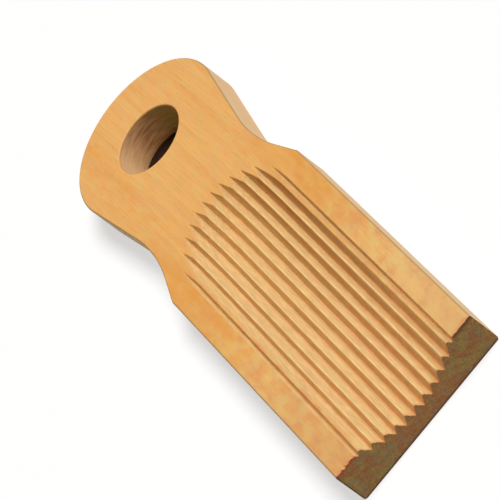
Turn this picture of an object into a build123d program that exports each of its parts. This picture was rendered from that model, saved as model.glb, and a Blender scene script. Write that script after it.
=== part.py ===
from build123d import *
import os
from math import acos, atan2, cos, hypot, radians, sin, sqrt, tan

# A gnocchi board, milled and bored from one slab of beech: a grooved trough along its lower
# part, a waisted handle with a round head, and a hole to hang it by.
# Millimetres. It lies flat on its back, +Z up. X runs across the board, +Y from the ridged end
# to the tip of the head, and the origin is in the middle of the back.

# The slab and its outline
board_width = 59.0  # across the two straight sides
board_length = 221.0  # from the ridged end to the tip of the head
board_thickness = 13.0
handle_length = 99.5  # from the shoulders to the tip
head_radius = 28.6
waist_reach = 24.1  # from the shoulders to where the lines of the waist would cross
waist_inset = 6.9  # from the side of the board to that crossing
waist_round = 63.0  # radius that rounds the crossing off
shoulder_round = 2.5  # radius of the corner between a side and the waist
face_ease = 0.6  # rounding along the sides of the ridged face
back_ease = 1.0  # rounding along the sides of the back

# The hanging hole
hole_diameter = 25.0
hole_setback = 2.4  # from the middle of the head, towards the ridges
rim_ease = 0.5  # rounding on both rims

# The grooves, ploughed by one ganged cutter whose axis lies across the board
groove_count = 12
groove_angle = 60.0  # degrees between the two flanks of a groove
rail_width = 8.0  # flat margin left beside the outermost groove
middle_depth = 7.9  # of the arc along the bottoms of the grooves
outer_depth = 1.44  # of the outermost groove
cutter_radius = 61.0  # of the cutter at the middle of the trough
cutter_stop = 7.5  # how far short of the shoulders the cutter lifts out
overrun = 2.0  # how far cuts pass the wood

# Places along the board
tip_y = board_length / 2
end_y = -board_length / 2
shoulder_y = tip_y - handle_length
head_y = tip_y - head_radius

# A straight line leaves each side of the head's circle as its tangent and runs to the waist
side_x = board_width / 2
waist_x = side_x - waist_inset
waist_y = shoulder_y + waist_reach
waist_bearing = atan2(waist_y - head_y, waist_x)
neck_bearing = waist_bearing + acos(head_radius / hypot(waist_x, waist_y - head_y))
neck_x = head_radius * cos(neck_bearing)
neck_y = head_y + head_radius * sin(neck_bearing)

# The bottoms of the grooves lie on one arc across the board
flank_slope = tan(radians(groove_angle / 2))
outer_x = side_x - rail_width - outer_depth * flank_slope
groove_pitch = 2 * outer_x / (groove_count - 1)
trough_rise = middle_depth - outer_depth
trough_radius = (outer_x**2 + trough_rise**2) / (2 * trough_rise)
cutter_y = shoulder_y - cutter_stop
cutter_z = board_thickness + cutter_radius - middle_depth
quarter_turn = 90


def groove_depth(x):
    """Depth of a groove below the face, x from the middle of the board."""
    return middle_depth - trough_radius + sqrt(trough_radius**2 - x**2)


with BuildPart() as board:
    # The slab: half of its outline, mirrored
    with BuildSketch() as outline:
        with BuildLine():
            Polyline(
                (0, end_y),
                (side_x, end_y),
                (side_x, shoulder_y),
                (waist_x, waist_y),
                (neck_x, neck_y),
            )
            RadiusArc((neck_x, neck_y), (0, tip_y), -head_radius)
            mirror(about=Plane.YZ)
        make_face()
        fillet(outline.vertices().group_by(Axis.Y)[2], radius=waist_round)
        fillet(outline.vertices().group_by(Axis.Y)[1], radius=shoulder_round)
    extrude(amount=board_thickness)

    # The arrises are eased all round except at the ridged end, which is left as sawn
    face_edges = board.faces().sort_by(Axis.Z)[-1].edges().sort_by(Axis.Y)
    fillet(face_edges[1:], radius=face_ease)
    back_edges = board.faces().sort_by(Axis.Z)[0].edges().sort_by(Axis.Y)
    fillet(back_edges[1:], radius=back_ease)

    # The hanging hole, with both rims eased
    with Locations((0, head_y - hole_setback, board_thickness)):
        Hole(radius=hole_diameter / 2)
    flats = board.faces().filter_by(Axis.Z)
    fillet([flat.inner_wires()[0].edge() for flat in flats], radius=rim_ease)

    # The cutter's teeth in section, their flanks carried on above the face
    with BuildSketch(Plane.XZ.offset(-cutter_y)) as teeth:
        for tooth in range(groove_count):
            tooth_x = tooth * groove_pitch - outer_x
            tooth_depth = groove_depth(tooth_x)
            half_mouth = (tooth_depth + overrun) * flank_slope
            Polygon(
                (tooth_x - half_mouth, board_thickness + overrun),
                (tooth_x, board_thickness - tooth_depth),
                (tooth_x + half_mouth, board_thickness + overrun),
                align=None,
            )

    # The grooves run out through the ridged end and rise to the face as the cutter's rim does
    extrude(amount=cutter_y - end_y + overrun, mode=Mode.SUBTRACT)
    revolve(
        teeth.sketch,
        axis=Axis((0, cutter_y, cutter_z), (1, 0, 0)),
        revolution_arc=quarter_turn,
        mode=Mode.SUBTRACT,
    )

board.part.label = "board"

os.makedirs("parts", exist_ok=True)
export_step(board.part, "parts/board.step")

print(f"grooves every {groove_pitch:.2f} mm, bottoms on an arc of {trough_radius:.1f} mm")
print(f"wood under the deepest groove {board_thickness - groove_depth(groove_pitch / 2):.2f} mm")
print(f"volume {board.part.volume / 1000:.1f} cm3, valid {board.part.is_valid}")
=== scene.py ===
# %% [markdown]
# # A gnocchi board in beech
#
# A gnocchi board is a small wooden paddle with a ridged trough. Whatever is rolled down the trough
# comes off curled and grooved. The real board is one piece of beech: the outline is cut with a
# router, a row of pointed teeth on one cutter ploughs the grooves, a drill bores the hole, and the
# edges are sanded. This lesson makes it in the same order, first the plain slab, then the grooves,
# then the wood's own colours, and at the end the light and the camera.
#
# The fixed model holds the board's real place and size, so it is loaded first, and its box is
# kept for the slab's measures.

# %% Load the fixed model
import bmesh
import bpy
import math
from mathutils import Matrix, Vector
from mathutils.geometry import delaunay_2d_cdt


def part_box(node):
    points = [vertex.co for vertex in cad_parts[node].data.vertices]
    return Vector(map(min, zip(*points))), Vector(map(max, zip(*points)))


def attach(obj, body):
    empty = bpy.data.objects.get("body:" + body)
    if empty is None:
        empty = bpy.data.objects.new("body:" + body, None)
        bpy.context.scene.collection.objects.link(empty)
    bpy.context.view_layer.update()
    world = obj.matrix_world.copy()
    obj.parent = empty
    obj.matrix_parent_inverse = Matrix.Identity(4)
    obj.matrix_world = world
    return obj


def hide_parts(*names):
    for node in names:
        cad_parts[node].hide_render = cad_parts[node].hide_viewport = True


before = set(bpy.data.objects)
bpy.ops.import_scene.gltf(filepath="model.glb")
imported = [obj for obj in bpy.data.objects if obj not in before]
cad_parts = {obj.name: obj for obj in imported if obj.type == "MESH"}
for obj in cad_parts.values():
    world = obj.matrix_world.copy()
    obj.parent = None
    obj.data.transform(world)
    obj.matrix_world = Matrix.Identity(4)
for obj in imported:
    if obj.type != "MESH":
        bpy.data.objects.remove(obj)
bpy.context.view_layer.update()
low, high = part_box("board")
MM = 0.001
print("the board is", [round(size / MM, 1) for size in high - low], "mm")

# %% [markdown]
# ## The outline
#
# A router cut this outline round a template: two straight sides, a rounded shoulder on each, a
# hollow waist and a round head. Each part is a straight line or an arc, so the outline is
# written as a few corners with a radius for each, as on a workshop drawing. Every point also
# keeps the bearing in which the outline faces there, because the rounded edges are later set in
# from the outline along it.

# %% Measures of the outline
side_x, end_y, tip_y, face_z = high.x, low.y, high.y, high.z
handle_length = 99.5 * MM
head_radius = 28.6 * MM
waist_inset = 6.9 * MM
waist_reach = 24.1 * MM
waist_round = 63 * MM
shoulder_round = 2.5 * MM
shoulder_y = tip_y - handle_length
head_y = tip_y - head_radius
waist_x = side_x - waist_inset
waist_y = shoulder_y + waist_reach
arc_step = 0.8 * MM
QUARTER = math.pi / 2


def toward(bearing):
    """The direction of a bearing, which is counted in radians from +X towards +Y."""
    return Vector((math.cos(bearing), math.sin(bearing)))


def bearing_of(step):
    """The bearing in which a step goes."""
    return math.atan2(step.y, step.x)


def round_corner(before, corner, after, radius):
    """The arc that rounds a corner, as (point, outward bearing), with the wood on the left."""
    come = bearing_of(corner - before)
    turn = bearing_of(after - corner) - come
    reach = math.copysign(radius, turn)
    start = corner - toward(come) * radius * math.tan(abs(turn) / 2)
    centre = start - reach * toward(come - QUARTER)
    steps = math.ceil(abs(turn) * radius / arc_step) + 2
    bearings = [come - QUARTER + turn * step / steps for step in range(steps + 1)]
    return [(centre + reach * toward(bearing), bearing) for bearing in bearings]


# %% [markdown]
# The line from the waist meets the head as its tangent. The angle at the head's centre between
# that meeting point and the waist's corner has the head's radius over their distance as its
# cosine, which places the point without any trial. The left half mirrors the right.

# %% Draw the outline
head_centre = Vector((0, head_y))
end_corner = Vector((side_x, end_y))
shoulder = Vector((side_x, shoulder_y))
waist = Vector((waist_x, waist_y))
to_waist = waist - head_centre
neck_bearing = bearing_of(to_waist) + math.acos(head_radius / to_waist.length)
neck = head_centre + head_radius * toward(neck_bearing)
head_steps = math.ceil((QUARTER - neck_bearing) * head_radius / arc_step)
head_bearings = [
    neck_bearing + (QUARTER - neck_bearing) * step / head_steps for step in range(head_steps + 1)
]
right_half = [(end_corner, 0.0)]
right_half += round_corner(end_corner, shoulder, waist, shoulder_round)
right_half += round_corner(shoulder, waist, neck, waist_round)
right_half += [(head_centre + head_radius * toward(turn), turn) for turn in head_bearings]
left_half = [
    (Vector((-point.x, point.y)), math.pi - bearing) for point, bearing in reversed(right_half[:-1])
]
outline = right_half + left_half
narrowest = min(point.x for point, bearing in right_half if shoulder_y < point.y < neck.y)
print(len(outline), "points, the waist is", round(2 * narrowest / MM, 1), "mm across")

# %% [markdown]
# ## The slab
#
# The slab's skin is built from rings. Each ring is the outline set in by some distance, at some
# height: a quarter circle of them rounds the edge of the face, a smaller one rounds the back's.
# A Bevel modifier could round the edges as well, but rings put the points where the wood needs
# them, and the same two loops serve for the drilled hole. The ridged end has no rounding,
# because it is left as the saw cut it.

# %% Rings round the slab
face_ease = 0.6 * MM
back_ease = 1.0 * MM
ease_steps = 7
slab = bmesh.new()
surface = slab.faces.layers.int.new("surface")
SANDED, TROUGH, END, BORE = range(4)


def eased_profile(top_ease, bottom_ease):
    """How far in from the edge, and how high, each ring lies, from the face to the back."""
    turns = [QUARTER * step / ease_steps for step in range(ease_steps + 1)]
    upper = [(top_ease * (1 - math.sin(t)), face_z - top_ease * (1 - math.cos(t))) for t in turns]
    lower = [(bottom_ease * (1 - math.cos(t)), bottom_ease * (1 - math.sin(t))) for t in turns]
    return upper + lower


def skin(rings, closed, part):
    """Join rings of points into a band of faces, and return the rings' vertices."""
    rows = [[slab.verts.new(point) for point in ring] for ring in rings]
    for above, below in zip(rows, rows[1:]):
        for here in range(len(above) - (not closed)):
            there = (here + 1) % len(above)
            face = slab.faces.new((above[here], below[here], below[there], above[there]))
            face[surface] = part
    return rows


edge_profile = eased_profile(face_ease, back_ease)
edge_rings = [
    [(*(point - inset * toward(bearing)), height) for point, bearing in outline]
    for inset, height in edge_profile
]
edge_rows = skin(edge_rings, False, SANDED)
print(len(edge_rows), "rings of", len(edge_rows[0]), "points")

# %% [markdown]
# ## The hole
#
# A drill of 25 mm went through the head, a little below its middle, and both rims are lightly
# eased. Here the rings run the other way round, because the wood is now outside them.

# %% Rings down the hole
hole_radius = 12.5 * MM
hole_setback = 2.4 * MM
hole_centre = Vector((0, head_y - hole_setback))
rim_ease = 0.5 * MM
hole_steps = 96
hole_bearings = [-2 * math.pi * step / hole_steps for step in range(hole_steps)]
hole_rings = [
    [(*(hole_centre + (hole_radius + inset) * toward(turn)), height) for turn in hole_bearings]
    for inset, height in eased_profile(rim_ease, rim_ease)
]
hole_rows = skin(hole_rings, True, BORE)
print("the hole takes a bar", round(2 * hole_radius / MM, 1), "mm thick")

# %% [markdown]
# ## The sheet that is ploughed
#
# The grooved part of the face starts as a flat grid. Its columns run along the grooves, with one
# column on the bottom of every groove, so the deepest lines come out clean. Its rows are close
# where the grooves rise out of the wood and wide apart where a groove is straight. A narrow strip
# of close rows follows at the sawn end. It is wider, because the rails are rough there too.

# %% Measures of the grooves, and the flat grid
groove_count = 12
flank_angle = math.radians(30)
flank_slope = math.tan(flank_angle)
rail_width = 8 * MM
middle_depth = 7.9 * MM
outer_depth = 1.44 * MM
outer_x = side_x - rail_width - outer_depth * flank_slope
groove_pitch = 2 * outer_x / (groove_count - 1)
trough_rise = middle_depth - outer_depth
trough_radius = (outer_x**2 + trough_rise**2) / (2 * trough_rise)
cutter_radius = 61 * MM
cutter_stop = 7.5 * MM
cutter_y = shoulder_y - cutter_stop
lift = cutter_radius - middle_depth
rise_length = math.sqrt(cutter_radius**2 - lift**2)
columns_per_groove = 24
rail_step, row_step, rise_step, fine_step = 0.4 * MM, 1.2 * MM, 0.26 * MM, 0.2 * MM
rough_y = end_y + 2 * MM
sheet_x = outer_x + 1.2 * MM
sheet_y = cutter_y + rise_length + 0.6 * MM
strip_x = side_x - face_ease - 0.1 * MM
ROUNDING = 1e-6


def spread(start, stop, step):
    """Even places from start up to, but not at, stop, a step apart or a little less."""
    count = math.ceil((stop - start) / step - ROUNDING)
    return [start + (stop - start) * place / count for place in range(count)]


right_x = spread(outer_x, sheet_x, fine_step) + [sheet_x]
sheet_columns = [-x for x in reversed(right_x[1:])]
sheet_columns += spread(-outer_x, outer_x, groove_pitch / columns_per_groove) + right_x
rail_x = spread(sheet_x, strip_x, rail_step)[1:] + [strip_x]
rail_columns = len(rail_x)
strip_columns = [-x for x in reversed(rail_x)] + sheet_columns + rail_x
strip_lines = spread(end_y, rough_y, fine_step) + [rough_y]
sheet_lines = spread(rough_y, cutter_y, row_step)
sheet_lines += spread(cutter_y, sheet_y, rise_step) + [sheet_y]


def flat_grid(columns, lines):
    """A grid in the face, from the line that lies farthest up the board down to the lowest."""
    return skin([[(x, y, face_z) for x in columns] for y in reversed(lines)], False, TROUGH)


sheet_rows = flat_grid(sheet_columns, sheet_lines)
strip_rows = flat_grid(strip_columns, strip_lines)
print("a grid of", len(sheet_columns), "by", len(sheet_lines), "points")
print("grooves", round(groove_pitch / MM, 2), "mm apart")

# %% [markdown]
# ## The flat faces
#
# What is left of the face, and the whole back, are flat sheets with holes in them. Delaunay
# triangulation fills such a sheet: it takes the loops as borders and leaves the inner ones open.
# The face's outer loop goes up round the board and back down round the ploughed grid. The ridged
# end is one many-sided face in the shape of the board's section.

# %% Fill the face, the back and the ridged end
WITH_HOLES = 2
SAME_POINT = 1e-9
WELD = 0.001 * MM
CM3 = (10 * MM) ** 3


def fill_flat(loops, height, part):
    """Fill a flat sheet between its outer loop and the loops inside it."""
    points = []
    borders = []
    for loop in loops:
        borders.append(range(len(points), len(points) + len(loop)))
        points += [Vector(vertex.co.xy) for vertex in loop]
    places, _, faces, *_ = delaunay_2d_cdt(points, [], borders, WITH_HOLES, SAME_POINT)
    corners = [slab.verts.new((*place, height)) for place in places]
    for face in faces:
        slab.faces.new([corners[corner] for corner in face])[surface] = part


def sides(rows):
    """The left side of a grid upwards, and its right side downwards."""
    return [row[0] for row in reversed(rows)], [row[-1] for row in rows]


strip_left, strip_right = sides(strip_rows)
sheet_left, sheet_right = sides(sheet_rows)
up_left = strip_left + strip_rows[0][1:rail_columns] + sheet_left
down_right = sheet_right + strip_rows[0][-rail_columns:-1] + strip_right
round_grids = up_left + sheet_rows[0][1:-1] + down_right
fill_flat([edge_rows[0] + round_grids, hole_rows[0]], face_z, SANDED)
fill_flat([edge_rows[-1], hole_rows[-1]], 0, SANDED)
section = [row[0] for row in edge_rows] + [row[-1] for row in reversed(edge_rows)]
section_face = slab.faces.new([slab.verts.new(v.co) for v in section + strip_rows[-1]])
section_face[surface] = END
bmesh.ops.remove_doubles(slab, verts=slab.verts, dist=WELD)
bmesh.ops.recalc_face_normals(slab, faces=slab.faces)
open_edges = sum(not edge.is_manifold for edge in slab.edges)
volume = slab.calc_volume() / CM3
print(len(slab.faces), "faces,", open_edges, "open edges,", round(volume, 1), "cm3 of wood")
blank_mesh = bpy.data.meshes.new("blank")
slab.to_mesh(blank_mesh)
slab.free()
blank = bpy.data.objects.new("blank", blank_mesh)
bpy.context.collection.objects.link(blank)

# %% [markdown]
# ## One helper for every node tree
#
# Node trees are usually drawn in Blender's editors. Written out, they need the same step again and
# again: add a node, choose its settings and fill its inputs. This function does that step. Inputs
# are filled in the order in which the editor shows them, each with a plain value or with another
# node's output. It returns the first output, and the node's other outputs are reached through
# that one.

# %% Add a node
MATH = "ShaderNodeMath"
VECTOR = "ShaderNodeVectorMath"
SPREAD = "ShaderNodeMapRange"
NOISE = "ShaderNodeTexNoise"
MIX = "ShaderNodeMix"


def node(tree, kind, *inputs, named=(), **settings):
    """Add a node with its settings, fill its inputs, and return its first output."""
    made = tree.nodes.new(kind)
    for setting, value in settings.items():
        setattr(made, setting, value)
    shown = [socket for socket in made.inputs if socket.enabled]
    filled = list(zip(shown, inputs))
    filled += [(made.inputs[name], value) for name, value in dict(named).items()]
    for socket, value in filled:
        if isinstance(value, bpy.types.NodeSocket):
            tree.links.new(value, socket)
        elif value is not None:
            socket.default_value = value
    return next((socket for socket in made.outputs if socket.enabled), None)


# %% [markdown]
# ## The grooves
#
# On the real board a dozen pointed teeth on one turning cutter plough all the grooves at once,
# and where the cutter lifts out, every groove rises to the face along the same curve and ends in
# a point. The grooves could be cut one by one with booleans, but they follow a rule, so Geometry
# Nodes plough them: a Repeat zone visits each tooth, works out how high that tooth would leave
# the wood at every point, and keeps the lowest answer. A smooth minimum in place of a plain one
# rounds the crests as wear does, and takes about 0.4 mm off them.
#
# The tooth number gives its place across the board. The bottoms of all grooves lie on one arc,
# so the teeth get shorter towards the rails. Past the cutter's axis a tooth's reach is the
# radius of a circle, and the height it leaves follows from that circle. The teeth's points are a
# little blunt, so no groove ends in a knife-sharp line. A smooth maximum of a point's distance to
# either side gives the blunt nose, and an eighth of the nose's width taken off again keeps the
# groove's depth to within 0.04 mm.

# %% The tree and its named sizes
finishes = ("planed and sanded", "ploughed", "sawn end grain", "bored")
woods = [bpy.data.materials.new("Beech, " + finish) for finish in finishes]
FLOAT, INTEGER, WOOD = "NodeSocketFloat", "NodeSocketInt", "NodeSocketMaterial"
sizes = {
    "Teeth": (INTEGER, groove_count),
    "First tooth": (FLOAT, -outer_x),
    "Pitch": (FLOAT, groove_pitch),
    "Flank slope": (FLOAT, flank_slope),
    "Trough radius": (FLOAT, trough_radius),
    "Cutter radius": (FLOAT, cutter_radius),
    "Cutter place": (FLOAT, cutter_y),
    "Cutter height": (FLOAT, face_z + lift),
    "Face height": (FLOAT, face_z),
    "Tooth nose": (FLOAT, 0.5 * MM),
    "Crest softness": (FLOAT, 2.2 * MM),
    "Mouth softness": (FLOAT, 0.25 * MM),
    "Tooth wear": (FLOAT, 0.06 * MM),
    "Sawn end": (FLOAT, end_y),
    "Chip length": (FLOAT, 1.4 * MM),
    "Chip depth": (FLOAT, 0.7 * MM),
    "Seed": (INTEGER, 7),
} | {wood.name: (WOOD, wood) for wood in woods}
plough = bpy.data.node_groups.new("Plough the grooves", "GeometryNodeTree")
for way in ("INPUT", "OUTPUT"):
    plough.interface.new_socket("Board", in_out=way, socket_type="NodeSocketGeometry")
for label, (kind, value) in sizes.items():
    plough.interface.new_socket(label, in_out="INPUT", socket_type=kind)
given = node(plough, "NodeGroupInput").node.outputs
print(len(sizes), "named inputs")

# %% [markdown]
# Inside the Repeat zone, one tooth at a time. Its state is a single number for every point, the
# height of the wood that the teeth so far have left.

# %% The height that one tooth leaves
place = node(plough, "GeometryNodeInputPosition")
x, y, z = node(plough, "ShaderNodeSeparateXYZ", place).node.outputs
past = node(plough, MATH, y, given["Cutter place"], operation="SUBTRACT")
past = node(plough, MATH, past, 0.0, operation="MAXIMUM")
past_square = node(plough, MATH, past, past, operation="MULTIPLY")
trough = given["Trough radius"]
trough_square = node(plough, MATH, trough, trough, operation="MULTIPLY")

first_round = plough.nodes.new("GeometryNodeRepeatInput")
last_round = plough.nodes.new("GeometryNodeRepeatOutput")
first_round.pair_with_output(last_round)
last_round.repeat_items.clear()
last_round.repeat_items.new("FLOAT", "Wood left")
plough.links.new(given["Teeth"], first_round.inputs["Iterations"])
first_round.inputs["Wood left"].default_value = 1.0
tooth = first_round.outputs["Iteration"]

tooth_x = node(plough, MATH, tooth, given["Pitch"], given["First tooth"], operation="MULTIPLY_ADD")
tooth_square = node(plough, MATH, tooth_x, tooth_x, operation="MULTIPLY")
bow = node(plough, MATH, trough_square, tooth_square, operation="SUBTRACT")
bow = node(plough, MATH, bow, operation="SQRT")
bow = node(plough, MATH, bow, trough, operation="SUBTRACT")
most_wear = given["Tooth wear"]
least_wear = node(plough, MATH, most_wear, -1.0, operation="MULTIPLY")
wear = node(plough, "FunctionNodeRandomValue", least_wear, most_wear, tooth, given["Seed"])
nose = given["Tooth nose"]
aside = node(plough, MATH, x, tooth_x, operation="SUBTRACT")
other_side = node(plough, MATH, aside, -1.0, operation="MULTIPLY")
aside = node(plough, MATH, aside, other_side, nose, operation="SMOOTH_MAX")
nose_gap = node(plough, MATH, nose, 8.0, operation="DIVIDE")
aside = node(plough, MATH, aside, nose_gap, operation="SUBTRACT")
flank = node(plough, MATH, aside, given["Flank slope"], operation="DIVIDE")
reach = node(plough, MATH, given["Cutter radius"], bow, operation="ADD")
reach = node(plough, MATH, reach, wear, operation="ADD")
reach = node(plough, MATH, reach, flank, operation="SUBTRACT")
reach = node(plough, MATH, reach, 0.0, operation="MAXIMUM")
drop = node(plough, MATH, reach, reach, operation="MULTIPLY")
drop = node(plough, MATH, drop, past_square, operation="SUBTRACT")
drop = node(plough, MATH, drop, 0.0, operation="MAXIMUM")
drop = node(plough, MATH, drop, operation="SQRT")
left_by_tooth = node(plough, MATH, given["Cutter height"], drop, operation="SUBTRACT")
wood_left = first_round.outputs["Wood left"]
softness = given["Crest softness"]
left_so_far = node(plough, MATH, wood_left, left_by_tooth, softness, operation="SMOOTH_MIN")
plough.links.new(left_so_far, last_round.inputs["Wood left"])
print(len(plough.nodes), "nodes so far")

# %% [markdown]
# A saw leaves the crests at the ridged end chipped, because the short fibres there break away. A
# noise that is stretched along the grain picks the places, and the chips fade out within a
# millimetre or two. Crests chip more than hollows, so the noise is weighed by the distance from
# the nearest groove's bottom: PINGPONG counts that distance up and down again across each pitch.
# The rails chip too, but not where they meet the rounded edge. The saw went in at the right and
# came out at the left, where nothing backs the fibres, so the chips get deeper towards the left.

# %% Chip the crests, bend the wood, and give each face its finish
face_height = given["Face height"]
wood_left = last_round.outputs["Wood left"]
softness = given["Mouth softness"]
height = node(plough, MATH, face_height, wood_left, softness, operation="SMOOTH_MIN")
half_pitch = node(plough, MATH, given["Pitch"], 0.5, operation="MULTIPLY")
from_first = node(plough, MATH, x, given["First tooth"], operation="SUBTRACT")
from_bottom = node(plough, MATH, from_first, half_pitch, operation="PINGPONG")
crest = node(plough, MATH, from_bottom, half_pitch, operation="DIVIDE")
from_end = node(plough, MATH, y, given["Sawn end"], operation="SUBTRACT")
near_end = node(plough, SPREAD, from_end, 0.0, given["Chip length"], 1.0, 0.0)
off_middle = node(plough, MATH, x, operation="ABSOLUTE")
on_rail = node(plough, SPREAD, off_middle, outer_x, outer_x + groove_pitch / 2, 0.0, 0.95)
crest = node(plough, MATH, crest, on_rail, operation="MAXIMUM")
inside = node(plough, SPREAD, off_middle, strip_x - 1 * MM, strip_x, 1.0, 0.0)
saw_came_out = node(plough, SPREAD, x, -outer_x, side_x, 1.0, 0.2)
chip_grain = node(plough, VECTOR, place, (1 / MM, 0.3 / MM, 0.0), operation="MULTIPLY")
chips = node(plough, NOISE, chip_grain, 0.9, 3.0)
chips = node(plough, SPREAD, chips, 0.42, 0.62, 0.0, 1.0)
chip = given["Chip depth"]
for share in (chips, crest, near_end, inside, saw_came_out):
    chip = node(plough, MATH, chip, share, operation="MULTIPLY")
height = node(plough, MATH, height, chip, operation="SUBTRACT")
lowered = node(plough, MATH, height, face_height, operation="DIVIDE")
new_z = node(plough, MATH, z, lowered, operation="MULTIPLY")
new_place = node(plough, "ShaderNodeCombineXYZ", x, y, new_z)
board = node(plough, "GeometryNodeSetPosition", given["Board"], None, new_place)
board = node(plough, "GeometryNodeRealizeInstances", board)
part = node(plough, "GeometryNodeInputNamedAttribute", "surface", data_type="INT")
for number, wood in enumerate(woods):
    chosen = node(plough, "FunctionNodeCompare", part, number, data_type="INT", operation="EQUAL")
    board = node(plough, "GeometryNodeSetMaterial", board, chosen, given[wood.name])
node(plough, "NodeGroupOutput", board)
print(len(plough.nodes), "nodes")

# %% [markdown]
# The modifier's inputs are known to it by identifiers, not by their names, so the values are set
# by those. The evaluated result is then copied to a plain mesh. Its curved parts are shaded
# smooth, but not across the crests and rims, nor where a rounding meets a flat face: a smooth
# edge there would smear the rounding's shade over the whole flat.

# %% Plough the blank and keep the result as a plain mesh
blank_mesh.materials.append(woods[SANDED])
grooves = blank.modifiers.new("Grooves", "NODES")
grooves.node_group = plough
for item in plough.interface.items_tree:
    if item.in_out == "INPUT" and item.name in sizes:
        grooves[item.identifier] = sizes[item.name][1]
depsgraph = bpy.context.evaluated_depsgraph_get()
board_mesh = bpy.data.meshes.new_from_object(blank.evaluated_get(depsgraph), depsgraph=depsgraph)
board_mesh.name = "gnocchi_board"
bpy.data.objects.remove(blank)

CREASE = math.radians(30)
LEVEL = 0.99999
finished = bmesh.new()
finished.from_mesh(board_mesh)
for face in finished.faces:
    face.smooth = True
for edge in finished.edges:
    flat = [abs(face.normal.z) > LEVEL for face in edge.link_faces]
    edge.smooth = edge.calc_face_angle() < CREASE and flat[0] == flat[1]
print(round(finished.calc_volume() / CM3, 1), "cm3 of wood are left")
finished.to_mesh(board_mesh)
finished.free()
board = bpy.data.objects.new("gnocchi_board", board_mesh)
bpy.context.collection.objects.link(board)
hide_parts("board")
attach(board, "root")

# %% [markdown]
# ## The colours of beech
#
# Planed beech is pale pinkish brown when new and turns golden with use. Colours are written as the
# hex values that a picture program shows, and shaders count in linear light, so one function
# turns the first into the second.

# %% Colours


def hex_colour(code):
    """The linear colour of an sRGB hex value."""
    parts = [int(code[start:start + 2], 16) / 255 for start in (1, 3, 5)]
    linear = [p / 12.92 if p <= 0.04045 else ((p + 0.055) / 1.055) ** 2.4 for p in parts]
    return (*linear, 1.0)


PALE = hex_colour("#E7AA5A")
GOLDEN = hex_colour("#DD9640")
PINKISH = hex_colour("#E2A068")
OLIVE = hex_colour("#DCB066")
HANDLED = hex_colour("#DA9230")
SAPWOOD = hex_colour("#F0D490")
WORN = hex_colour("#D39660")
DULLED = hex_colour("#BE8C50")
STAIN_RED = hex_colour("#D08858")
STAIN_GREEN = hex_colour("#DFC074")
LATE_WOOD = hex_colour("#CE8D48")
RAY_FLECK = hex_colour("#B97C40")
DARK_FIBRE = hex_colour("#CC8634")
END_GRAIN = hex_colour("#B98148")
print("pale beech is", [round(part, 3) for part in PALE[:3]], "in linear light")

# %% [markdown]
# ## The figure of the wood
#
# A board's figure is what the saw shows of the tree inside it. The tree's rings are cylinders
# round its pith, which here lies 110 mm below the board and 70 mm to its left, so the rings show as
# long bands on the face and as arcs in the sawn end. Between them the wood has patches of warmer
# and pinker colour, fibres along the grain, and the short dark dashes that mark beech, where its
# rays end. A painted picture of wood would slide over the edges. This one is a solid pattern in
# the board's own coordinates, so that the bands run down the sides and through the hole as they
# do in real wood.
#
# Every part of it is noise that is stretched along the grain by the real size of what it draws:
# rings about 2.6 mm apart, warm bands 9 mm wide, patches 16 mm long, and a soft mottle 6 mm long.
# Fibres are finer than the picture can show, so they are drawn 0.35 mm wide, some of them a little
# darker. A finish takes what it needs from this group, and adds only what the tool and the use did
# to that surface.

# %% The figure as a group
figure = bpy.data.node_groups.new("Beech figure", "ShaderNodeTree")
outputs = {"Colour": "NodeSocketColor", "Height": FLOAT, "Rings": FLOAT, "Patches": FLOAT}
for label, kind in outputs.items():
    figure.interface.new_socket(label, in_out="OUTPUT", socket_type=kind)
coordinates = node(figure, "ShaderNodeTexCoord").node.outputs
wood_mm = node(figure, VECTOR, coordinates["Object"], 1 / MM, operation="SCALE")
waver = node(figure, VECTOR, wood_mm, (1 / 40, 1 / 160, 1 / 40), operation="MULTIPLY")
waver = node(figure, NOISE, waver, 1.0, 1.0).node.outputs["Color"]
waver = node(figure, VECTOR, waver, (8, 0, 8), (-4, 0, -4), operation="MULTIPLY_ADD")
grain = node(figure, VECTOR, wood_mm, waver, operation="ADD")

noises = []
# width across the grain and length along it in mm, and how fine the detail is
for wide, long, detail in ((9, 150, 2.0), (4, 16, 3.0), (2.2, 6, 3.0), (0.35, 14, 2.0)):
    stretch = (1 / wide, 1 / long, 1 / wide)
    stretched = node(figure, VECTOR, grain, stretch, operation="MULTIPLY")
    noises.append(node(figure, NOISE, stretched, 1.0, detail))
bands, patches, mottle, fibres = noises

FROM_PITH = (70, 0, 110)
RING_WIDTH = 2.6
from_pith = node(figure, VECTOR, grain, (1, 0, 1), FROM_PITH, operation="MULTIPLY_ADD")
ring_radius = node(figure, VECTOR, from_pith, operation="LENGTH")
ring_number = node(figure, MATH, ring_radius, 1 / RING_WIDTH, bands, operation="MULTIPLY_ADD")
ring_age = node(figure, MATH, ring_number, operation="FRACT")
rings = node(figure, SPREAD, ring_age, 0.35, 0.95, 0.0, 1.0, interpolation_type="SMOOTHSTEP")
pith_x, _, pith_z = FROM_PITH
near, far = (math.hypot(pith_x + x / MM, pith_z + face_z / MM) for x in (-side_x, side_x))
print(round((far - near) / RING_WIDTH), "rings cross the face")

# %% [markdown]
# The dashes come from a Voronoi pattern whose cells are 0.9 mm wide and 3.5 mm long. Each cell has
# its own random colour, which lets only some of them show, and a dash fills the middle of it.
# Then the colours are mixed one over the other, each by a share between 0 and 1, and the shares
# stay low: sanded beech is calm, and no line in it is much darker than the wood beside it.

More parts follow.
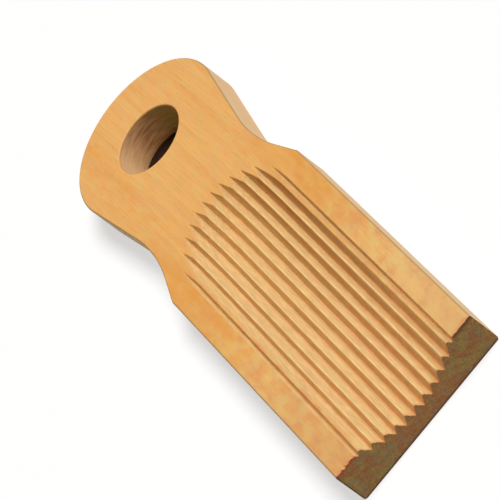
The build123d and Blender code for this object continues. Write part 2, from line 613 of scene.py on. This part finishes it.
# %% Mix the figure
dash_place = node(figure, VECTOR, grain, (1 / 0.9, 1 / 3.5, 1 / 0.9), operation="MULTIPLY")
dash_cells = node(figure, "ShaderNodeTexVoronoi", dash_place, 1.0, feature="F1").node.outputs
dash_choice = node(figure, "ShaderNodeSeparateColor", dash_cells["Color"])
dash_chosen = node(figure, SPREAD, dash_choice, 0.45, 0.75, 0.0, 1.0)
dash = node(figure, SPREAD, dash_cells["Distance"], 0.12, 0.32, 1.0, 0.0)
dash = node(figure, MATH, dash, dash_chosen, operation="MULTIPLY")

golden = node(figure, SPREAD, bands, 0.35, 0.65, 0.0, 0.8, interpolation_type="SMOOTHSTEP")
pink = node(figure, SPREAD, patches, 0.4, 0.75, 0.0, 0.5)
olive = node(figure, SPREAD, mottle, 0.4, 0.65, 0.0, 0.6)
late = node(figure, MATH, rings, 0.18, operation="MULTIPLY")
fleck = node(figure, MATH, dash, 0.22, operation="MULTIPLY")
dark = node(figure, SPREAD, fibres, 0.5, 0.3, 0.0, 0.22)
colour = PALE
layers = [(golden, GOLDEN), (pink, PINKISH), (olive, OLIVE)]
layers += [(late, LATE_WOOD), (fleck, RAY_FLECK), (dark, DARK_FIBRE)]
for share, over in layers:
    colour = node(figure, MIX, share, colour, over, data_type="RGBA")
fibre_shade = node(figure, SPREAD, fibres, 0.25, 0.75, 0.98, 1.04)
colour = node(figure, VECTOR, colour, fibre_shade, operation="SCALE")
print(len(figure.nodes), "nodes so far")

# %% [markdown]
# ## The marks of use
#
# Use has changed the wood unevenly. The rails are darkest golden beside the grooves' upper half,
# where the board is gripped. Towards the ridged end, which gets wet most, soft reddish and
# greenish stains come in, about 7 mm long, and the rails are worn pinker. The right rail also
# keeps a little pale sapwood. All of these could be painted on a picture of the board, but a
# place along it and across it, turned into a share by Map Range, says the same in a few nodes. The
# left rail's lower half is a little duller, because it was wiped less.

# %% Mix in the marks of use
RAIL_FROM, RAIL_TO = 18.0, 23.0
across_board, along_board, _ = node(figure, "ShaderNodeSeparateXYZ", wood_mm).node.outputs
from_middle = node(figure, MATH, across_board, operation="ABSOLUTE")
on_rail = node(figure, SPREAD, from_middle, RAIL_FROM, RAIL_TO, 0.0, 1.0)
on_right = node(figure, SPREAD, across_board, RAIL_FROM, RAIL_TO, 0.0, 1.0)
on_left = node(figure, SPREAD, across_board, -RAIL_TO, -RAIL_FROM, 1.0, 0.0)
gripped = node(figure, SPREAD, along_board, -50.0, -15.0, 0.0, 1.0)
let_go = node(figure, SPREAD, along_board, 20.0, 42.0, 1.0, 0.0)
blotchy = node(figure, SPREAD, patches, 0.35, 0.65, 0.3, 0.8)
handled = on_rail
for share in (gripped, let_go, blotchy):
    handled = node(figure, MATH, handled, share, operation="MULTIPLY")
sapwood = node(figure, SPREAD, along_board, -80.0, -30.0, 0.25, 0.0)
sapwood = node(figure, MATH, sapwood, on_right, operation="MULTIPLY")

stain_place = node(figure, VECTOR, grain, (1 / 3.5, 1 / 7, 1 / 3.5), operation="MULTIPLY")
stains = node(figure, NOISE, stain_place, 1.0, 3.0).node.outputs["Color"]
reddish, greenish, _ = node(figure, "ShaderNodeSeparateColor", stains).node.outputs
used = node(figure, SPREAD, along_board, 20.0, -60.0, 0.1, 1.0)
reddish = node(figure, SPREAD, reddish, 0.42, 0.7, 0.0, 0.6)
reddish = node(figure, MATH, reddish, used, operation="MULTIPLY")
greenish = node(figure, SPREAD, greenish, 0.45, 0.62, 0.0, 0.55)
greenish = node(figure, MATH, greenish, used, operation="MULTIPLY")
worn = node(figure, SPREAD, along_board, -104.0, -60.0, 0.3, 0.0)
worn = node(figure, MATH, worn, on_rail, operation="MULTIPLY")
dulled = node(figure, SPREAD, along_board, -50.0, -85.0, 0.0, 0.2)
dulled = node(figure, MATH, dulled, on_left, operation="MULTIPLY")
layers = [(handled, HANDLED), (sapwood, SAPWOOD), (reddish, STAIN_RED)]
layers += [(greenish, STAIN_GREEN), (worn, WORN), (dulled, DULLED)]
for share, over in layers:
    colour = node(figure, MIX, share, colour, over, data_type="RGBA")
print(len(figure.nodes), "nodes so far")

# %% [markdown]
# Where the wood is cut across the grain it is darker, because the open pores swallow light. The
# surface's direction tells how much it is cut across: the more it faces along Y, the more end
# grain it shows.

# %% Darken the end grain, and close the group
facing = node(figure, "ShaderNodeSeparateXYZ", coordinates["Normal"]).node.outputs["Y"]
facing = node(figure, MATH, facing, operation="ABSOLUTE")
across = node(figure, SPREAD, facing, 0.35, 1.0, 0.0, 0.6, interpolation_type="SMOOTHSTEP")
colour = node(figure, MIX, across, colour, END_GRAIN, data_type="RGBA")
height = node(figure, MATH, dash, -0.5, fibres, operation="MULTIPLY_ADD")
node(figure, "NodeGroupOutput", colour, height, rings, patches)
print(len(figure.nodes), "nodes in the figure")

# %% [markdown]
# ## Planed and sanded
#
# The face, the back and the edges were planed and then sanded with fine paper. Sanding leaves bare
# beech matt and rounds every arris. The light scatters, so the roughness is high, near 0.6, and a
# shallow bump of 0.04 mm lets the fibres catch a little of it. The sides are drawn paler and greyer
# than the face, and the long arrises are drawn dark, a painted shade. The surface's direction tells
# the two apart: a side is level in it, an arris lies between side and face.

# %% Beech, planed and sanded
NOISE_RANGE = (0.3, 0.7)


def open_finish(wood):
    """Clear a material, and return its tree, the figure's outputs and the coordinates."""
    wood.use_nodes = True
    tree = wood.node_tree
    tree.nodes.clear()
    used = node(tree, "ShaderNodeGroup", node_tree=figure)
    return tree, used.node.outputs, node(tree, "ShaderNodeTexCoord").node.outputs


def close_finish(tree, colour, roughness, height, bump_depth, shine=0.5):
    """End a material in one shader that takes its colour, roughness and relief."""
    relief = node(tree, "ShaderNodeBump", named={"Distance": bump_depth, "Height": height})
    sockets = {"Base Color": colour, "Roughness": roughness, "Normal": relief}
    sockets |= {"IOR": 1.5, "Specular IOR Level": shine}
    shader = node(tree, "ShaderNodeBsdfPrincipled", named=sockets)
    node(tree, "ShaderNodeOutputMaterial", shader)
    print(len(tree.nodes), "nodes make this finish")


tree, beech, where = open_finish(woods[SANDED])
to_right, _, upward = node(tree, "ShaderNodeSeparateXYZ", where["Normal"]).node.outputs
up_or_down = node(tree, MATH, upward, operation="ABSOLUTE")
side_share = node(tree, SPREAD, up_or_down, 0.3, 0.95, 0.5, 0.0)
colour = node(tree, MIX, side_share, beech["Colour"], hex_colour("#DAC6A2"), data_type="RGBA")
# Painted shade: the long arrises are drawn dark.
aslant = node(tree, MATH, to_right, operation="ABSOLUTE")
painted_arris_shade = node(tree, SPREAD, aslant, 0.1, 0.5, 0.0, 0.75)
not_side = node(tree, SPREAD, upward, 0.05, 0.35, 0.0, 1.0)
painted_arris_shade = node(tree, MATH, painted_arris_shade, not_side, operation="MULTIPLY")
colour = node(tree, MIX, painted_arris_shade, colour, hex_colour("#94753F"), data_type="RGBA")
roughness = node(tree, SPREAD, beech["Patches"], *NOISE_RANGE, 0.55, 0.68)
close_finish(tree, colour, roughness, beech["Height"], 0.04 * MM)

# %% [markdown]
# ## Ploughed
#
# The cutter's teeth scrape the flanks clean along the grain, so the walls are fresh and a little
# paler than the sanded face. Short streaks run along them, drawn 0.5 mm wide, where the teeth
# lifted the fibres. The bottoms are darkened with a painted shadow, wider towards the right rail
# and stronger towards the ridged end.

# %% Beech, ploughed: the scraped walls
tree, beech, where = open_finish(woods[TROUGH])
place = where["Object"]
x, y, z = node(tree, "ShaderNodeSeparateXYZ", place).node.outputs
scratch_scale = Vector((1 / 0.5, 1 / 6, 1 / 0.5)) / MM
scratch_place = node(tree, VECTOR, place, scratch_scale, operation="MULTIPLY")
scratches = node(tree, NOISE, scratch_place, 1.0, 3.0)
scratch_shade = node(tree, SPREAD, scratches, *NOISE_RANGE, 0.84, 1.12)
wall = node(tree, MIX, 0.6, beech["Colour"], hex_colour("#EAD098"), data_type="RGBA")
wall = node(tree, VECTOR, wall, scratch_shade, operation="SCALE")
from_first = node(tree, MATH, x, outer_x, operation="ADD")
from_bottom = node(tree, MATH, from_first, groove_pitch / 2, operation="PINGPONG")
# Painted shadow: the groove bottoms are darkened, wider towards the right rail and stronger towards
# the ridged end.
painted_bottom_shadow_width = node(tree, SPREAD, x, -18 * MM, 16 * MM, 0.5 * MM, 1.2 * MM)
in_bottom = node(tree, SPREAD, from_bottom, 0.0, painted_bottom_shadow_width, 1.0, 0.0)
toward_end = node(tree, SPREAD, y, -10 * MM, -80 * MM, 0.0, 1.0)
painted_bottom_shadow = node(tree, MATH, toward_end, 0.25, 0.3, operation="MULTIPLY_ADD")
painted_bottom_shadow = node(tree, MATH, painted_bottom_shadow, in_bottom, operation="MULTIPLY")
wall = node(tree, MIX, painted_bottom_shadow, wall, hex_colour("#8A5A2C"), data_type="RGBA")
print("half way between two grooves lies", round(groove_pitch / 2 / MM, 2), "mm from a bottom")

# %% [markdown]
# The flanks that face left, away from the lamp, are given a painted shade: a browner tone, with
# olive patches. Towards the handle this painted shade is strongest at the crests and near the
# rails.
# Towards the ridged end it covers the whole flank, and a painted highlight makes the crests pale.

# %% Paint shade on the flanks that face left
at_bottom = node(tree, MATH, toward_end, 0.7, 0.3, operation="MULTIPLY_ADD")
at_crest = node(tree, MATH, toward_end, -0.3, 1.0, operation="MULTIPLY_ADD")
# Painted shade on the flanks that face away from the lamp, strongest at the crests towards the
# handle.
painted_flank_shade = node(tree, SPREAD, from_bottom, 0.2 * MM, 1.6 * MM, at_bottom, at_crest)
to_right = node(tree, "ShaderNodeSeparateXYZ", where["Normal"]).node.outputs["X"]
faces_left = node(tree, SPREAD, to_right, -0.6, -0.2, 1.0, 0.0)
patchy = node(tree, SPREAD, beech["Patches"], 0.35, 0.65, 0.8, 1.0)
less_at_left = node(tree, SPREAD, x, -15 * MM, 10 * MM, 0.6, 0.9)
for share in (faces_left, patchy, less_at_left):
    painted_flank_shade = node(tree, MATH, painted_flank_shade, share, operation="MULTIPLY")
off_middle = node(tree, MATH, x, operation="ABSOLUTE")
by_rails = node(tree, SPREAD, off_middle, 2 * MM, 16 * MM, 0.0, 1.0)
middling, strong = hex_colour("#FFC878"), hex_colour("#C87420")
painted_flank_shade_colour = node(tree, MIX, by_rails, middling, strong, data_type="RGBA")
painted_flank_shade_colour = node(tree, MIX, toward_end, painted_flank_shade_colour, hex_colour("#FFB874"), data_type="RGBA")
olive_scale = Vector((1 / 2, 1 / 6, 1 / 2)) / MM
olive_place = node(tree, VECTOR, place, olive_scale, operation="MULTIPLY")
olive = node(tree, NOISE, olive_place, 1.0, 3.0)
olive = node(tree, SPREAD, olive, 0.4, 0.65, 0.0, 0.3)
painted_flank_shade_colour = node(tree, MIX, olive, painted_flank_shade_colour, hex_colour("#AC8420"), data_type="RGBA")
wall = node(tree, MIX, painted_flank_shade, wall, painted_flank_shade_colour, data_type="RGBA")
# Painted highlight: towards the ridged end the crests of the flanks that face left are drawn pale.
painted_crest_highlight = node(tree, SPREAD, from_bottom, 1.2 * MM, 1.85 * MM, 0.0, 0.8)
for share in (faces_left, toward_end):
    painted_crest_highlight = node(tree, MATH, painted_crest_highlight, share, operation="MULTIPLY")
wall = node(tree, MIX, painted_crest_highlight, wall, hex_colour("#FFCC88"), data_type="RGBA")
print(len(tree.nodes), "nodes so far")

# %% [markdown]
# The depth below the face fades all of this in, so that the ploughed wood meets the sanded face
# without a seam. Scraped wood also shines less than sanded wood, so its Specular IOR Level is 0.15
# in place of the usual 0.5. The shine is not faded with the depth, so at the face the colour is
# raised instead, by the little that the shine would add. A shine can't be faded as a colour can,
# because exported models lose it then. At the ridged end the saw tore the fibres in the last
# millimetre, which shows as an orange edge.

# %% Meet the sanded face and the sawn end
depth = node(tree, MATH, face_z, z, operation="SUBTRACT")
ploughed = node(
    tree, SPREAD, depth, 0.05 * MM, 0.7 * MM, 0.0, 1.0, interpolation_type="SMOOTHSTEP"
)
meeting = node(tree, VECTOR, beech["Colour"], (0.02, 0.02, 0.02), operation="ADD")
colour = node(tree, MIX, ploughed, meeting, wall, data_type="RGBA")
torn = node(tree, SPREAD, y, end_y + 0.3 * MM, end_y + 1.2 * MM, 0.6, 0.0)
colour = node(tree, MIX, torn, colour, hex_colour("#DC8C50"), data_type="RGBA")
height = node(tree, MATH, beech["Height"], scratches, operation="ADD")
roughness = node(tree, SPREAD, beech["Patches"], *NOISE_RANGE, 0.55, 0.68)
close_finish(tree, colour, roughness, height, 0.05 * MM, shine=0.15)

# %% [markdown]
# ## Sawn end grain
#
# The ridged end was cut across the grain and left as sawn. All the pores open towards the eye
# there and swallow the light, so it is much darker and duller than the face. The rings show as
# arcs, and damp has left blots of olive, rust and grey, 3 mm across and less, with more rust in
# the middle. The pores are finer than the picture can show, so they are drawn 0.6 mm wide.

# %% Beech, sawn end grain: blots, rings and pores
tree, beech, where = open_finish(woods[END])
place_mm = node(tree, VECTOR, where["Object"], 1 / MM, operation="SCALE")
blots = node(tree, NOISE, place_mm, 1 / 3.0, 3.0)
pores = node(tree, NOISE, place_mm, 1 / 0.6, 3.0)
blot_share = node(tree, SPREAD, blots, 0.35, 0.65, 0.0, 1.0, interpolation_type="SMOOTHSTEP")
brown, ochre = hex_colour("#9C6A36"), hex_colour("#A08646")
colour = node(tree, MIX, blot_share, brown, ochre, data_type="RGBA")
blot_colours = node(tree, "ShaderNodeSeparateColor", blots.node.outputs["Color"]).node.outputs
rust_share = node(tree, SPREAD, blot_colours["Green"], 0.5, 0.65, 0.0, 0.8)
colour = node(tree, MIX, rust_share, colour, hex_colour("#A2602F"), data_type="RGBA")
grey_share = node(tree, SPREAD, blot_colours["Blue"], 0.5, 0.65, 0.0, 0.7)
colour = node(tree, MIX, grey_share, colour, hex_colour("#8C8058"), data_type="RGBA")
x, _, z = node(tree, "ShaderNodeSeparateXYZ", place_mm).node.outputs
off_middle = node(tree, MATH, x, operation="ABSOLUTE")
in_middle = node(tree, SPREAD, off_middle, 8.0, 18.0, 0.35, 0.0)
colour = node(tree, MIX, in_middle, colour, hex_colour("#B06A3C"), data_type="RGBA")
ring_share = node(tree, MATH, beech["Rings"], 0.16, operation="MULTIPLY")
colour = node(tree, MIX, ring_share, colour, hex_colour("#74492A"), data_type="RGBA")
pore_shade = node(tree, SPREAD, pores, *NOISE_RANGE, 0.7, 1.2)
colour = node(tree, VECTOR, colour, pore_shade, operation="SCALE")
print(len(tree.nodes), "nodes so far")

# %% [markdown]
# Under the rails the saw tore the fibres, drawn rusty at the left and dark brown at the right:
# partly their own colour, partly painted shade under the chipped edge. A painted shade also darkens
# a line along the back and the left edge. The saw also left faint straight marks, which are in the
# relief only.

# %% The saw's marks on the end, and painted shade at its edges
# Torn fibres under the rails, partly their own colour and partly painted shade.
under_rail = node(tree, SPREAD, off_middle, 21.0, 22.0, 0.0, 1.0)
ragged = node(tree, MATH, pores, 0.8, z, operation="MULTIPLY_ADD")
under_face = node(tree, SPREAD, ragged, 11.8, 12.8, 0.0, 0.85)
torn = node(tree, MATH, under_rail, under_face, operation="MULTIPLY")
to_right = node(tree, SPREAD, x, -20.0, 20.0, 0.0, 1.0)
rust, umber = hex_colour("#A04C2C"), hex_colour("#5E3A1C")
torn_fibres_and_shade_colour = node(tree, MIX, to_right, rust, umber, data_type="RGBA")
colour = node(tree, MIX, torn, colour, torn_fibres_and_shade_colour, data_type="RGBA")
# Painted shade along the back and the left edge of the end.
over_back = node(tree, SPREAD, z, 0.2, 0.8, 0.85, 0.0)
at_left = node(tree, SPREAD, x, -29.4, -28.8, 0.85, 0.0)
painted_edge_shade = node(tree, MATH, over_back, at_left, operation="MAXIMUM")
colour = node(tree, MIX, painted_edge_shade, colour, hex_colour("#2E2010"), data_type="RGBA")
saw_place = node(tree, VECTOR, place_mm, (1 / 12, 1, 1 / 0.5), operation="MULTIPLY")
saw_marks = node(tree, NOISE, saw_place, 1.0, 1.0)
height = node(tree, MATH, pores, saw_marks, operation="ADD")
roughness = node(tree, SPREAD, blots, *NOISE_RANGE, 0.7, 0.85)
close_finish(tree, colour, roughness, height, 0.08 * MM)

# %% [markdown]
# ## Bored
#
# The drill burnished the wall of the hole round and round, so streaks circle it, across the grain.
# They are drawn 0.7 mm wide, which is coarser than real ones, so that they show. The wall that
# faces right, towards the lamp, is drawn paler, a painted light, and the opposite one dark olive,
# a painted shade. Just below the rim the colour fades into that of the face, where the rim was
# eased with paper.

# %% Beech, bored
tree, beech, where = open_finish(woods[BORE])
place_mm = node(tree, VECTOR, where["Object"], 1 / MM, operation="SCALE")
to_right = node(tree, "ShaderNodeSeparateXYZ", where["Normal"])
mark_place = node(tree, VECTOR, place_mm, (1 / 6, 1 / 6, 1 / 0.7), operation="MULTIPLY")
marks = node(tree, NOISE, mark_place, 1.0, 4.0)
mark_share = node(tree, SPREAD, marks, 0.38, 0.62, 0.0, 1.0)
pale, streak = hex_colour("#E8B880"), hex_colour("#A8744A")
bore_colour = node(tree, MIX, mark_share, pale, streak, data_type="RGBA")
# Painted light on the wall that faces right, and painted shade on the wall that faces left.
painted_light_on_right_wall = node(tree, SPREAD, to_right, 0.05, 0.85, 0.0, 0.85)
bore_colour = node(tree, MIX, painted_light_on_right_wall, bore_colour, hex_colour("#F8CC96"), data_type="RGBA")
painted_shade_on_left_wall = node(tree, SPREAD, to_right, 0.05, -0.7, 0.0, 0.9)
bore_colour = node(tree, MIX, painted_shade_on_left_wall, bore_colour, hex_colour("#8C7628"), data_type="RGBA")
height_mm = node(tree, "ShaderNodeSeparateXYZ", place_mm).node.outputs["Z"]
below_rim = node(tree, SPREAD, height_mm, 12.0, 12.8, 1.0, 0.0)
colour = node(tree, MIX, below_rim, beech["Colour"], bore_colour, data_type="RGBA")
roughness = node(tree, SPREAD, marks, *NOISE_RANGE, 0.5, 0.65)
close_finish(tree, colour, roughness, marks, 0.06 * MM)
print("finishes:", ", ".join(finishes))

# %% [markdown]
# ## The floor and the background
#
# The board lies on a plain pale floor, in front of a white background. The floor is a little grey
# for the light that bounces from it, so that it doesn't flood the board, and the camera sees it
# mixed with plain white, which keeps the board's shadow but makes it light. Under the far side of
# the hole the floor is dark, for the deep shade that shows through the hole.

# %% The floor
FLOOR_HALF = 3.0
FLOOR_DROP = 0.1 * MM
floor_mesh = bpy.data.meshes.new("floor")
floor_corners = [(-1, -1), (1, -1), (1, 1), (-1, 1)]
floor_points = [(FLOOR_HALF * x, FLOOR_HALF * y, -FLOOR_DROP) for x, y in floor_corners]
floor_mesh.from_pydata(floor_points, [], [(0, 1, 2, 3)])
floor = bpy.data.objects.new("floor", floor_mesh)
bpy.context.collection.objects.link(floor)
paper = bpy.data.materials.new("Paper, matt white")
paper.use_nodes = True
tree = paper.node_tree
tree.nodes.clear()
floor_mesh.materials.append(paper)
WHITE = (1, 1, 1, 1)
WHITE_FROM, WHITE_TO = 14 * MM, 24 * MM
camera_ray = node(tree, "ShaderNodeLightPath")
floor_colour = node(tree, MIX, camera_ray, hex_colour("#EBE9E6"), WHITE, data_type="RGBA")
on_floor = node(tree, "ShaderNodeTexCoord").node.outputs["Object"]
from_hole = node(tree, VECTOR, on_floor, (*hole_centre, 0), operation="DISTANCE")
from_hole = from_hole.node.outputs["Value"]
under_hole = node(tree, SPREAD, from_hole, 12.5 * MM, 14.5 * MM, 1.0, 0.0)
floor_y = node(tree, "ShaderNodeSeparateXYZ", on_floor).node.outputs["Y"]
far_side = node(tree, SPREAD, floor_y, hole_centre.y, hole_centre.y + 8 * MM, 0.0, 1.0)
shaded = node(tree, MATH, under_hole, far_side, operation="MULTIPLY")
floor_colour = node(tree, MIX, shaded, floor_colour, hex_colour("#2C1F18"), data_type="RGBA")
matt = node(tree, "ShaderNodeBsdfDiffuse", floor_colour)
white = node(tree, "ShaderNodeEmission", WHITE, 1.0)
whitened = node(tree, SPREAD, from_hole, WHITE_FROM, WHITE_TO, 0.0, 0.6)
whitened = node(tree, MATH, camera_ray, whitened, operation="MULTIPLY")
seen = node(tree, "ShaderNodeMixShader", whitened, matt, white)
node(tree, "ShaderNodeOutputMaterial", seen)
print("the floor is", 2 * FLOOR_HALF, "m across")

# %% [markdown]
# The world does the same. The kind of ray tells it what to be: a soft, slightly warm fill for the
# wood, or white for the camera and for reflections.

# %% The background
FILL = 0.09
world = bpy.data.worlds.new("Studio")
bpy.context.scene.world = world
world.use_nodes = True
tree = world.node_tree
tree.nodes.clear()
ray = node(tree, "ShaderNodeLightPath").node.outputs
direct = node(tree, MATH, ray["Is Camera Ray"], ray["Is Glossy Ray"], operation="MAXIMUM")
direct = node(tree, MATH, direct, ray["Is Transmission Ray"], operation="MAXIMUM")
strength = node(tree, SPREAD, direct, 0.0, 1.0, FILL, 1.0)
tint = node(tree, MIX, direct, (1.0, 0.88, 0.72, 1.0), WHITE, data_type="RGBA")
studio = node(tree, "ShaderNodeBackground", tint, strength)
node(tree, "ShaderNodeOutputWorld", studio)
print("the fill is", FILL, "of full light")

# %% [markdown]
# ## The lamp
#
# The light comes from above the board's right side: it brightens the groove walls that face right,
# leaves the others in shade, and the ridged end darker than the face. It stands 65 degrees high,
# so it only just grazes the shaded walls. One sun lamp gives parallel light like a distant soft
# box, and its wide angle softens the shadows. On the level face the lamp and the fill add up to
# one, so a colour renders about as it is written.

# %% One soft lamp
to_light = Vector((0.40, -0.04, 0.88)).normalized()
light = bpy.data.lights.new("key lamp", "SUN")
light.angle = math.radians(28)
light.energy = math.pi * (1 - FILL) / to_light.z
lamp = bpy.data.objects.new("key lamp", light)
lamp.rotation_euler = to_light.to_track_quat("Z", "Y").to_euler()
bpy.context.collection.objects.link(lamp)
print("the lamp stands", round(math.degrees(math.asin(to_light.z))), "degrees high")

# %% [markdown]
# ## The camera
#
# The camera looks down on the board from its ridged end, from far away through a long lens, so the
# sides stay almost parallel. It is turned about its own line of sight, because the board lies
# across the picture. Its place is written as the point it aims at, two angles and a distance.

# %% Aim the camera
aim = Vector((-1.622, -4.011, 13.0)) * MM
azimuth, elevation, roll = (math.radians(angle) for angle in (4.909, 33.364, -53.363))
distance = 1512.11 * MM
flat_back = Vector((math.sin(azimuth), -math.cos(azimuth), 0))
back = flat_back * math.cos(elevation) + Vector((0, 0, math.sin(elevation)))
level = Vector((0, 0, 1)).cross(back).normalized()
right = level * math.cos(roll) + back.cross(level) * math.sin(roll)
up = back.cross(right)
camera_data = bpy.data.cameras.new("camera")
camera_data.lens = 367.95
camera = bpy.data.objects.new("camera", camera_data)
turned = Matrix((right, up, back)).transposed().to_4x4()
camera.matrix_world = Matrix.Translation(aim + distance * back) @ turned
bpy.context.collection.objects.link(camera)
scene = bpy.context.scene
scene.camera = camera
scene.view_settings.view_transform = "Standard"
print("the camera stands at", [round(part, 3) for part in camera.matrix_world.translation])
